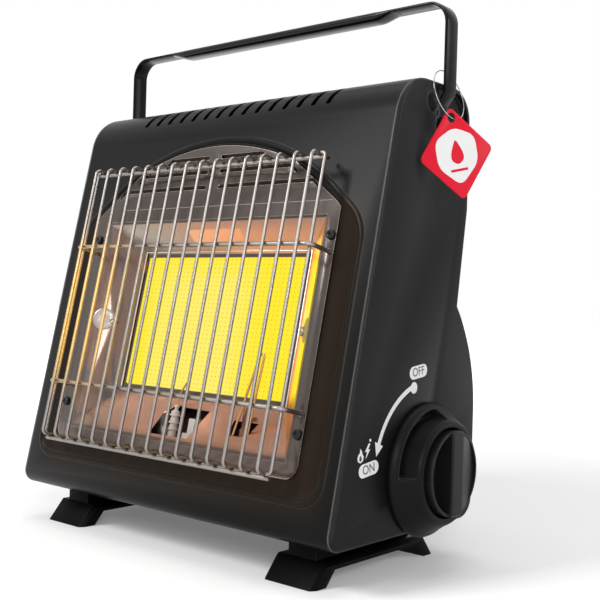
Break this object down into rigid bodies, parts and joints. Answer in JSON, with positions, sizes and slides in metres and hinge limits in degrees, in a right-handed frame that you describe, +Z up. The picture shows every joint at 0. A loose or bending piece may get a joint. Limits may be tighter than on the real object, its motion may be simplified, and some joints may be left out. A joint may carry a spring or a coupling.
{
  "type": "portable gas heater",
  "caption": "Portable radiant gas heater: leaning sheet-steel casing with a ceramic burner behind a wire guard, side gas knob, folding carrying handle and rear cartridge cover.",
  "frame": {"origin": "on the ground, under the middle of the whole heater's box", "axes": "+Z up, +Y from the burner's front to the rear cover, +X to the side with the gas knob"},
  "size_m": [0.279, 0.1458, 0.3148],
  "materials": {
    "front_shell": "satin black powder coat",
    "rear_shell": "satin black powder coat",
    "base_plate": "satin black powder coat",
    "right_side_panel": "satin black paint with printed marks",
    "left_side_panel": "satin black paint",
    "rear_screws": "black oxide",
    "right_foot": "black moulded plastic",
    "left_foot": "black moulded plastic",
    "foot_screws": "zinc plated",
    "reflector": "satin stainless steel",
    "reflector_screws": "black oxide",
    "dish_screws": "stainless",
    "guard_front_wires": "nickel plated wire",
    "guard_side_wires": "nickel plated wire",
    "guard_rails": "nickel plated wire",
    "guard_cross_wires": "nickel plated wire",
    "ceramic_tile": "perforated ceramic, glowing yellow when lit",
    "tile_gasket": "ceramic fibre",
    "burner_housing": "aluminised steel",
    "mixing_tube": "aluminised steel",
    "injector": "brass",
    "gas_pipe": "bare aluminium tube",
    "valve_body": "die cast",
    "regulator": "die cast",
    "cartridge_collar": "black plastic",
    "piezo_igniter": "black plastic",
    "valve_stem": "brass",
    "electrode_bracket": "zinc plated",
    "spark_electrode": "white glazed ceramic with a steel pin",
    "electrode_block": "white ceramic",
    "flame_sensor": "copper and steel",
    "ignition_loop": "heat-coloured wire",
    "ignition_lead": "silicone insulation",
    "sensor_lead": "copper capillary",
    "heat_shield": "zinc plated sheet",
    "cartridge_cradle": "zinc plated sheet",
    "knob_shroud": "black moulded plastic",
    "control_knob": "black moulded plastic",
    "cartridge_door": "satin black powder coat",
    "door_latch": "black moulded plastic",
    "door_hinge_pins": "steel",
    "handle_strap": "black painted steel strap",
    "handle_grip": "black soft grip",
    "pivot_screws": "black oxide",
    "hang_tag": "red and white printed card",
    "tag_ring": "bright wire"
  },
  "bodies": {
    "housing": {"front_shell": "front_shell", "rear_shell": "rear_shell", "base_plate": "base_plate", "right_side_panel": "right_side_panel", "left_side_panel": "left_side_panel", "rear_screws": "rear_screws", "right_foot": "right_foot", "left_foot": "left_foot", "foot_screws": "foot_screws", "reflector": "reflector", "reflector_screws": "reflector_screws", "dish_screws": "dish_screws", "guard_front_wires": "guard_front_wires", "guard_side_wires": "guard_side_wires", "guard_rails": "guard_rails", "guard_cross_wires": "guard_cross_wires", "ceramic_tile": "ceramic_tile", "tile_gasket": "tile_gasket", "burner_housing": "burner_housing", "mixing_tube": "mixing_tube", "injector": "injector", "gas_pipe": "gas_pipe", "valve_body": "valve_body", "regulator": "regulator", "cartridge_collar": "cartridge_collar", "piezo_igniter": "piezo_igniter", "electrode_bracket": "electrode_bracket", "spark_electrode": "spark_electrode", "electrode_block": "electrode_block", "flame_sensor": "flame_sensor", "ignition_loop": "ignition_loop", "ignition_lead": "ignition_lead", "sensor_lead": "sensor_lead", "heat_shield": "heat_shield", "cartridge_cradle": "cartridge_cradle", "knob_shroud": "knob_shroud", "door_hinge_pins": "door_hinge_pins", "pivot_screws": "pivot_screws"},
    "handle": {"handle_strap": "handle_strap", "handle_grip": "handle_grip", "tag_ring": "tag_ring"},
    "tag": {"hang_tag": "hang_tag"},
    "knob": {"control_knob": "control_knob", "valve_stem": "valve_stem"},
    "door": {"cartridge_door": "cartridge_door"},
    "latch": {"door_latch": "door_latch"}
  },
  "joints": [
    {"name": "handle_swing", "type": "hinge", "parent": "housing", "child": "handle", "pos_m": [-0.0085, 0.03141, 0.244], "axis": [-1, 0, 0], "range_deg": [0, 100]},
    {"name": "tag_swing", "type": "hinge", "parent": "handle", "child": "tag", "pos_m": [0.12698, 0.02494, 0.24687], "axis": [0.9397, -0.342, 0], "range_deg": [-6, 35]},
    {"name": "knob_turn", "type": "hinge", "parent": "housing", "child": "knob", "pos_m": [0.119, 0.02241, 0.0555], "axis": [1, 0, 0], "range_deg": [0, 90]},
    {"name": "door_hinge", "type": "hinge", "parent": "housing", "child": "door", "pos_m": [-0.0085, 0.06961, 0.031], "axis": [-1, 0, 0], "range_deg": [0, 90]},
    {"name": "latch_slide", "type": "slide", "parent": "door", "child": "latch", "axis": [0, 0.5, -0.866], "range_m": [0, 0.005], "stiffness_N_per_m": 150, "springref_m": -0.006}
  ]
}
